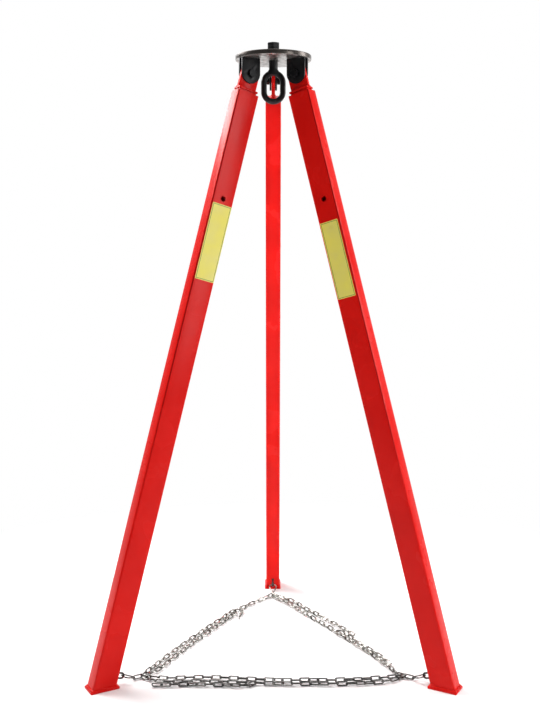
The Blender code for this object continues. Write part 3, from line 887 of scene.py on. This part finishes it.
def makeUpperLeg(leg):
    body = "upper_leg_" + leg
    place = legPlace(leg)
    edge = hingePlate["width"] / 2
    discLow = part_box("head_disc")[0].z
    slope = (edge - hingePlate["corner"]) * math.sin(splay)
    top = (discLow - gap - hingeHeight - slope) / math.cos(splay)
    bottom = gap - cap["top"]
    size = (hingePlate["width"], hingePlate["thickness"], top - bottom)
    plate = addBlock(size, (0, 0, (top + bottom) / 2))

    def isInner(a, b):
        return max(a.x, b.x) < 0 < min(a.z, b.z)

    def isOuter(a, b):
        return min(a.x, b.x) > edge - hair and min(a.z, b.z) > top - hair

    roundEdges(plate, isInner, hingePlate["rounding"], segments=12)
    roundEdges(plate, isOuter, hingePlate["corner"], segments=1)
    combine(plate, addRod(hingePlate["boltHole"], through, turn=crosswise, sides=32))
    soften(plate, hingePlate["edge"], angle=40)
    finishNode(plate, "hinge_plate_" + leg, place, body, redPaint)

    size = (cap["width"], cap["depth"], cap["thickness"])
    capPlate = addBlock(size, (0, 0, -cap["top"] - cap["thickness"] / 2))
    roundEdges(capPlate, upright, cap["rounding"])
    soften(capPlate, cap["edge"], segments=3, angle=40)
    finishNode(capPlate, "cap_plate_" + leg, place, body, redPaint)

    bead = weldBead(hingeWeld, hingePlate["width"], hingePlate["thickness"], -cap["top"])
    finishPiece(bead, "weld_hinge_" + leg, place, body, [], redPaint, angle=60)

    width, depth, rounding = tube["innerWidth"], tube["innerDepth"], tube["innerRounding"]
    lean = width / 2 * math.sin(splay)
    low = -(hingeHeight - foot["thickness"] - 2 * gap - lean) / math.cos(splay)
    inner = addBoxTube(width, depth, rounding, -tube["innerTop"], low, levelEnd=False)
    for number in range(tube["rowCount"]):
        drill(inner, low + tube["lowestHole"] + number * tube["rowSpacing"], sides=24)
    finishNode(inner, "inner_tube_" + leg, place, body, redPaint)


def makeLowerLeg(leg):
    body = "lower_leg_" + leg
    width, depth, rounding = tube["outerWidth"], tube["outerDepth"], tube["outerRounding"]
    outer = addBoxTube(width, depth, rounding, -tube["outerTop"], -tubeEnd, levelEnd=True)
    drill(outer, -tube["outerTop"] - tube["pinHoleBelowTop"], sides=32)
    paintCornerShade(outer, width, depth, rounding)
    finishNode(outer, "outer_tube_" + leg, legPlace(leg), body, redPaint)

    sole = addBlock((foot["length"], foot["width"], foot["thickness"]))
    roundEdges(sole, upright, foot["corner"], segments=3)
    soften(sole, foot["edge"], angle=40)
    reach = (hingeHeight - foot["thickness"]) * math.tan(splay)
    solePlace = Matrix.Translation((reach - foot["setIn"], 0, foot["thickness"] / 2 - hingeHeight))
    finishNode(sole, "foot_plate_" + leg, hingePlace(leg) @ solePlace, body, redPaint)

    bead = weldBead(footWeld, width / math.cos(splay), depth, 0)
    beadPlace = Matrix.Translation((reach, 0, foot["thickness"] - hingeHeight))
    finishPiece(bead, "weld_foot_" + leg, hingePlace(leg) @ beadPlace, body, [], redPaint, angle=60)


# Chain ring: a staple welded on the inner face, low down
ring = {
    "wire": 0.0025,
    "turn": 0.0065,
    "reach": 0.0215,
    "height": 0.028,
    "blob": 0.0042,
    "blobFlat": 0.42,
    "blobSunk": 0.0006,
    "voxel": 0.0005,
    "smoothing": 4,
}


def makeChainRing(leg):
    face = -tube["outerWidth"] / 2 - gap
    turnCentre = -tube["outerWidth"] / 2 - ring["reach"] + ring["turn"]
    arc = arcPoints((turnCentre, 0), ring["turn"], 90, 270, steps=20)
    path = [(face, 0, ring["turn"]), *[(x, 0, z) for x, z in arc], (face, 0, -ring["turn"])]
    pieces = [bentRod(path, ring["wire"], closed=False, sides=5)]
    for side in (1, -1):
        bpy.ops.mesh.primitive_uv_sphere_add(
            segments=20,
            ring_count=12,
            radius=ring["blob"],
            location=(face - ring["blobSunk"], 0, side * ring["turn"]),
            scale=(ring["blobFlat"], 1, 1),
        )
        pieces.append(applyPlace(bpy.context.object))
    staple = joinAll(pieces)
    applyShape(staple, "REMESH", mode="VOXEL", voxel_size=ring["voxel"], adaptivity=0)
    applyShape(staple, "SMOOTH", factor=0.5, iterations=ring["smoothing"])
    place = legPlace(leg) @ Matrix.Translation((0, 0, ring["height"] - tubeEnd))
    finishNode(staple, "chain_ring_" + leg, place, "lower_leg_" + leg, darkSteel, angle=60)


for legName in legNames:
    makeUpperLeg(legName)
    makeLowerLeg(legName)
    makeChainRing(legName)
print("legs made")


# Pear link between ring and chain
pear = {"wire": 0.00175, "wideTurn": 0.0105, "narrowTurn": 0.0045, "tipRadius": 0.404, "tipHeight": 0.0075}


def makePearLink(leg):
    pin = Vector(joints["leg_fold_" + leg]["axis"])
    out = pin.cross(Vector((0, 0, 1)))
    tip = Vector(joints["link_swing_" + leg]["pos_m"])
    clear = ring["wire"] + pear["wire"] + gap
    wide = tip + (out * math.cos(splay) + Vector((0, 0, math.sin(splay)))) * clear
    narrow = Vector((axisPoint.x, axisPoint.y, pear["tipHeight"])) + out * pear["tipRadius"]
    run = narrow - wide
    spread = run.length - pear["wideTurn"] - pear["narrowTurn"]
    tilt = math.degrees(math.asin((pear["wideTurn"] - pear["narrowTurn"]) / spread))
    outline = arcPoints((pear["wideTurn"], 0), pear["wideTurn"], 90 - tilt, 270 + tilt, steps=28)
    tipCentre = (pear["wideTurn"] + spread, 0)
    outline += arcPoints(tipCentre, pear["narrowTurn"], tilt - 90, 90 - tilt, steps=18)
    along = run.normalized()
    path = [wide + along * x + pin * y for x, y in outline]
    link = bentRod(path, pear["wire"], closed=True, sides=4)
    finishNode(link, "pear_link_" + leg, Matrix(), "chain_end_" + leg, zincSteel, angle=60)


# Chain of small round-wire links, along the same routes as the solids
chain = {
    "pitch": 0.0222,
    "wire": 0.00195,
    "turn": 0.0046,
    "bite": 0.00005,
    "roll": 45,
    "slack": 28,
    "slackPerLink": 2.3,
    "slackPerMetre": 40,
    "height": 0.0071,
    "samples": 24,
    "parting": 0.0010,
    "gatherOut": 0.993,
    "gatherUp": 0.118,
}
routes = {
    "left": {
        "front_far": [
            (-0.31, -0.1935), (-0.265, -0.204), (-0.196, -0.199), (-0.132, -0.201),
            (-0.07, -0.2075), (0, -0.215),
        ],
        "front_near": [
            (-0.315, -0.205), (-0.288, -0.219), (-0.25, -0.223), (-0.19, -0.221), (-0.13, -0.224),
            (-0.065, -0.229), (0, -0.234),
        ],
        "back_outer": [
            (-0.3255, -0.171), (-0.311, -0.14), (-0.281, -0.072), (-0.248, 0), (-0.213, 0.069),
            (-0.197, 0.099),
        ],
        "back_inner": [
            (-0.3145, -0.1795), (-0.293, -0.149), (-0.261, -0.075), (-0.231, -0.009),
            (-0.196, 0.061), (-0.179, 0.096),
        ],
    },
    "right": {
        "front_far": [
            (0.31, -0.1935), (0.255, -0.2055), (0.2, -0.2115), (0.15, -0.216), (0.1, -0.2145),
            (0.05, -0.2165), (0, -0.215),
        ],
        "front_near": [
            (0.315, -0.205), (0.285, -0.2195), (0.24, -0.23), (0.19, -0.2335), (0.14, -0.235),
            (0.09, -0.234), (0.045, -0.235), (0, -0.234),
        ],
        "back_inner": [
            (0.3145, -0.1795), (0.301, -0.142), (0.27, -0.075), (0.238, -0.015), (0.205, 0.043),
            (0.1685, 0.1075),
        ],
    },
    "rear": {
        "left_outer": [
            (-0.014, 0.366), (-0.043, 0.337), (-0.068, 0.305), (-0.09, 0.273), (-0.112, 0.257),
            (-0.134, 0.222), (-0.152, 0.183), (-0.175, 0.142), (-0.197, 0.099),
        ],
        "right_outer": [
            (0.018, 0.37), (0.048, 0.342), (0.075, 0.308), (0.096, 0.268), (0.125, 0.229),
            (0.156, 0.183), (0.184, 0.14), (0.205, 0.105), (0.226, 0.07),
        ],
        "right_inner": [
            (0.006, 0.362), (0.033, 0.329), (0.06, 0.29), (0.085, 0.245), (0.118, 0.19),
            (0.143, 0.15), (0.1685, 0.1075),
        ],
    },
}
branches = {
    "left": [
        ("front_near", [
            (-0.035, -0.231), (-0.056, -0.242), (-0.095, -0.244), (-0.15, -0.24), (-0.21, -0.2385),
            (-0.26, -0.24), (-0.299, -0.242),
        ]),
    ],
    "right": [
        ("back_inner", [
            (0.18, 0.087), (0.198, 0.083), (0.214, 0.054), (0.248, -0.008), (0.282, -0.069),
            (0.305, -0.118),
        ]),
    ],
    "rear": [
        ("left_outer", [
            (-0.114, 0.254), (-0.112, 0.232), (-0.123, 0.205), (-0.139, 0.176), (-0.159, 0.137),
            (-0.179, 0.096),
        ]),
        ("left_outer", [
            (-0.092, 0.272), (-0.09, 0.25), (-0.096, 0.225), (-0.098, 0.2),
        ]),
    ],
}
parted = {
    ("left", "front_far"), ("left", "front_near"), ("left", "back_outer"), ("left", "back_inner"),
    ("rear", "right_inner"),
}


def modelLink():
    # A ring of round wire, turned so that no point sits on its middle line
    bpy.ops.mesh.primitive_torus_add(
        major_radius=chain["turn"],
        minor_radius=chain["wire"],
        major_segments=12,
        minor_segments=6,
        rotation=(0, 0, math.radians(15)),
    )
    return applyPlace(bpy.context.object)


def copyLink(template, start, end, roll):
    # Drawn out so that its ends hold the neighbours at start and end
    chord = end - start
    stretch = (chord.length - chain["bite"]) / 2 + chain["wire"] - chain["turn"]
    turn = chord.to_track_quat("X", "Z").to_matrix().to_4x4() @ Matrix.Rotation(roll, 4, "X")
    mesh = template.data.copy()
    for vertex in mesh.vertices:
        vertex.co.x += math.copysign(stretch, vertex.co.x)
    mesh.transform(Matrix.Translation((start + end) / 2) @ turn)
    return addObject("link", mesh)


def smoothRoute(points):
    # A Catmull-Rom curve through the points, finely stepped
    points = [Vector(point) for point in points]
    padded = [2 * points[0] - points[1], *points, 2 * points[-1] - points[-2]]
    curve = []
    for a, b, c, d in zip(padded, padded[1:], padded[2:], padded[3:]):
        for step in range(chain["samples"]):
            t = step / chain["samples"]
            square = (2 * a - 5 * b + 4 * c - d) * t**2
            cube = (3 * b - a - 3 * c + d) * t**3
            curve.append((2 * b + (c - a) * t + square + cube) / 2)
    curve.append(points[-1])
    return curve


def linkEnds(points, parting=0):
    # Where the links of a strand meet, a whole number of links apart
    curve = smoothRoute(points)
    lengths = [0]
    for a, b in zip(curve, curve[1:]):
        lengths.append(lengths[-1] + (b - a).length)
    count = max(1, round(lengths[-1] / chain["pitch"]))
    ends = []
    for number in range(count + 1):
        wanted = lengths[-1] * number / count
        index = 1
        while index < len(lengths) - 1 and lengths[index] < wanted:
            index += 1
        share = (wanted - lengths[index - 1]) / (lengths[index] - lengths[index - 1])
        ends.append(curve[index - 1].lerp(curve[index], share))
    ends[-1] += (ends[-1] - ends[-2]).normalized() * parting
    return ends


def layStrand(template, ends):
    # Links turned one way and the other, each a little out of true
    last = len(ends) - 2
    links = []
    for number, (start, end) in enumerate(zip(ends, ends[1:])):
        side = 1 if (last - number) % 2 == 0 else -1
        slack = chain["slack"] * math.sin(number * chain["slackPerLink"] + start.x * chain["slackPerMetre"])
        links.append(copyLink(template, start, end, math.radians(side * chain["roll"] + slack)))
    return links


def onFloor(points):
    return [(axisPoint.x + x, axisPoint.y + y, chain["height"]) for x, y in points]


def makeChain(leg, template):
    pin = Vector(joints["leg_fold_" + leg]["axis"])
    out = pin.cross(Vector((0, 0, 1)))
    near = pear["tipRadius"] + pear["wire"] + gap
    middle = Vector((axisPoint.x, axisPoint.y, pear["tipHeight"]))
    start = middle + out * near
    knot = middle + out * (near - chain["pitch"])
    links = [copyLink(template, start, knot, math.pi / 2)]
    hosts = {}
    for name, route in routes[leg].items():
        parting = chain["parting"] if (leg, name) in parted else 0
        hosts[name] = linkEnds([knot, *onFloor(route)], parting)
        links += layStrand(template, hosts[name])
    for host, route in branches[leg]:
        first = Vector(onFloor(route[:1])[0])
        hook = min(hosts[host], key=lambda end: (end - first).length)
        links += layStrand(template, linkEnds([hook, *onFloor(route[1:])]))
    piece = joinAll(links)
    node = "chain_" + leg
    finishPiece(piece, node + "_links", Matrix(), "chain_end_" + leg, [node], zincSteel, angle=60)
    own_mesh(piece)
    return len(links)


linkTemplate = modelLink()
for legName in legNames:
    makePearLink(legName)
    print("chain", legName, makeChain(legName, linkTemplate), "links")
bpy.data.objects.remove(linkTemplate, do_unlink=True)


# Stickers on the front legs, left bare but for the thin line inside their edge
sticker = {
    "thickness": 0.00025,
    "standOff": 0.00005,
    "corner": 0.002,
    "yellow": (0.820, 0.750, 0.130),
    "faded": (0.780, 0.715, 0.170),
    "stops": (0.35, 0.65),
    "green": (0.110, 0.190, 0.030),
    "border": 0.0028,
    "borderLine": 0.0013,
    "specular": 0.25,
    "fadeScale": 26,
    "smoothest": 0.26,
    "roughest": 0.40,
    "wrinkleScale": 70,
    "wrinkleStrength": 0.08,
    "wrinkleDepth": 0.0006,
}
stickerPlaces = {
    "left": {"side": 1, "low": 1.0360, "high": 1.2360, "across": (-0.0290, 0.0260)},
    "right": {"side": -1, "low": 0.9915, "high": 1.1920, "across": (-0.0270, 0.0240)},
}


def makeStickerFilm(leg, width, length):
    # Vinyl film, its line measured from the nearest edge through the UV map
    material, tree, shader, place = newMaterial("sticker_film_" + leg)
    split = splitPlace(tree, place, "UV")
    margins = []
    for axis, size in (("X", width), ("Y", length)):
        off = addMath(tree, "ABSOLUTE", addMath(tree, "SUBTRACT", split.outputs[axis], 0.5))
        margins.append(addMath(tree, "MULTIPLY", addMath(tree, "SUBTRACT", 0.5, off), size))
    margin = addMath(tree, "MINIMUM", *margins)
    away = addMath(tree, "ABSOLUTE", addMath(tree, "SUBTRACT", margin, sticker["border"]))
    line = addMath(tree, "LESS_THAN", away, sticker["borderLine"] / 2)
    fading = addNoise(tree, place, sticker["fadeScale"])
    tint = addRamp(tree, fading, sticker["stops"], sticker["faded"], sticker["yellow"])
    tree.links.new(addMix(tree, line, tint, sticker["green"]), shader.inputs["Base Color"])
    addSheen(tree, shader, fading, sticker["smoothest"], sticker["roughest"])
    shader.inputs["Specular IOR Level"].default_value = sticker["specular"]
    addGrain(tree, shader, place, sticker, "wrinkle", detail=2)
    return "red_paint", material


def makeSticker(leg):
    spot = stickerPlaces[leg]
    side = spot["side"]
    start, end = spot["across"]
    width = end - start
    length = spot["high"] - spot["low"]
    bpy.ops.mesh.primitive_plane_add(size=1)
    film = bpy.context.object
    film.scale = (width, length, 1)
    applyPlace(film)
    applyShape(film, "BEVEL", affect="VERTICES", width=sticker["corner"], segments=4)
    applyShape(film, "SOLIDIFY", thickness=sticker["thickness"], offset=1)
    # Flat on the side face: its X runs out of the leg, its Y up the leg
    face = side * (tube["outerDepth"] / 2 + sticker["standOff"])
    height = -tubeEnd + (spot["low"] + spot["high"]) / 2
    columns = Matrix(((1, 0, 0), (0, 0, side), (0, 1, 0))).to_4x4()
    if side > 0:
        columns = columns @ Matrix.Rotation(math.pi, 4, "Y") @ Matrix.Rotation(math.pi, 4, "X")
    place = legPlace(leg) @ Matrix.Translation(((start + end) / 2, face, height)) @ columns
    finish = makeStickerFilm(leg, width, length)
    finishPiece(film, "sticker_" + leg, place, "lower_leg_" + leg, [], finish)


for legName in ("left", "right"):
    makeSticker(legName)
print("stickers made")


# Floor, surroundings and lamps
studio = {
    "floor": (0.935, 0.925, 0.925),
    "floorRoughness": 0.8,
    "floorSpecular": 0.1,
    "floorSize": 30,
    "nearFloor": 0.75,
    "farFloor": 1.5,
    "whiteFrom": 1.6,
    "whiteTo": 2.8,
    "frontWorld": 0.12,
    "backWorld": 1.0,
    "backEdge": 0.55,
    "backFull": 0.85,
    "aimHeight": 0.8,
    "spread": 180,
}
lamps = {
    "topSoftbox": {"azimuth": -90, "reach": 0.2, "height": 3.3, "size": (2.2, 2.2), "power": 43},
    "keyPanel": {"azimuth": -40, "reach": 2.6, "height": 1.3, "size": (0.55, 1.6), "power": 22},
    "rightSoftbox": {"azimuth": 8, "reach": 2.4, "height": 1.7, "size": (0.8, 1.6), "power": 44},
    "leftSoftbox": {"azimuth": 149, "reach": 2.2, "height": 3.1, "size": (2.2, 2.2), "power": 160},
    # A narrow level beam on the inner face of the rear leg
    "rearStrip": {
        "azimuth": -90,
        "reach": 2.0,
        "height": 0.75,
        "size": (0.04, 1.49),
        "power": 0.16,
        "spread": 3,
        "aimHeight": 0.75,
    },
}


def addLightMask(tree, everywhere):
    # Rays that see the background: the camera's anywhere, mirrored and clear ones where it is white
    rays = tree.nodes.new("ShaderNodeLightPath").outputs
    mirrored = addMath(tree, "MAXIMUM", rays["Is Glossy Ray"], rays["Is Transmission Ray"])
    behind = addMath(tree, "MULTIPLY", mirrored, everywhere)
    return addMath(tree, "MAXIMUM", rays["Is Camera Ray"], behind)


def makeFloor():
    # Matt near the tripod, where it takes the shadows, and plain white further out
    bpy.ops.mesh.primitive_plane_add(size=studio["floorSize"], location=(axisPoint.x, axisPoint.y, 0))
    floor = bpy.context.object
    floor.name = "floor"
    material, tree, shader, place = newMaterial("floor_white")
    shader.inputs["Base Color"].default_value = (*studio["floor"], 1)
    shader.inputs["Roughness"].default_value = studio["floorRoughness"]
    shader.inputs["Specular IOR Level"].default_value = studio["floorSpecular"]
    reach = tree.nodes.new("ShaderNodeVectorMath")
    reach.operation = "LENGTH"
    tree.links.new(place.outputs["Object"], reach.inputs[0])
    depth = splitPlace(tree, place, "Object").outputs["Y"]
    behind = addSpan(tree, depth, studio["whiteFrom"], studio["whiteTo"])
    far = addSpan(tree, reach.outputs["Value"], studio["nearFloor"], studio["farFloor"])
    glow = tree.nodes.new("ShaderNodeEmission")
    glow.inputs["Strength"].default_value = 1
    mix = tree.nodes.new("ShaderNodeMixShader")
    tree.links.new(addMath(tree, "MULTIPLY", far, addLightMask(tree, behind)), mix.inputs["Fac"])
    tree.links.new(shader.outputs["BSDF"], mix.inputs[1])
    tree.links.new(glow.outputs["Emission"], mix.inputs[2])
    tree.links.new(mix.outputs["Shader"], tree.nodes["Material Output"].inputs["Surface"])
    floor.data.materials.append(material)


def makeSurroundings():
    # A white backdrop behind the tripod and a dim room in front of it
    world = bpy.data.worlds.new("studio")
    bpy.context.scene.world = world
    world.use_nodes = True
    tree = world.node_tree
    background = tree.nodes["Background"]
    background.inputs["Color"].default_value = (1, 1, 1, 1)
    place = tree.nodes.new("ShaderNodeTexCoord")
    depth = splitPlace(tree, place, "Generated").outputs["Y"]
    levels = (studio["frontWorld"], studio["backWorld"])
    room = addSpan(tree, depth, studio["backEdge"], studio["backFull"], *levels)
    strength = addMath(tree, "MAXIMUM", room, addLightMask(tree, 0))
    tree.links.new(strength, background.inputs["Strength"])


def makeLamps():
    for name, lamp in lamps.items():
        data = bpy.data.lights.new(name, "AREA")
        data.shape = "RECTANGLE"
        data.size, data.size_y = lamp["size"]
        data.energy = lamp["power"]
        data.spread = math.radians(lamp.get("spread", studio["spread"]))
        light = addObject(name, data)
        turn = math.radians(lamp["azimuth"])
        out = Vector((math.cos(turn), math.sin(turn), 0)) * lamp["reach"]
        light.location = Vector((axisPoint.x, axisPoint.y, lamp["height"])) + out
        aim = Vector((axisPoint.x, axisPoint.y, lamp.get("aimHeight", studio["aimHeight"]))) - light.location
        light.rotation_euler = aim.to_track_quat("-Z", "Y").to_euler()


makeFloor()
makeSurroundings()
makeLamps()
bpy.context.scene.view_settings.view_transform = "Standard"
print("studio made")
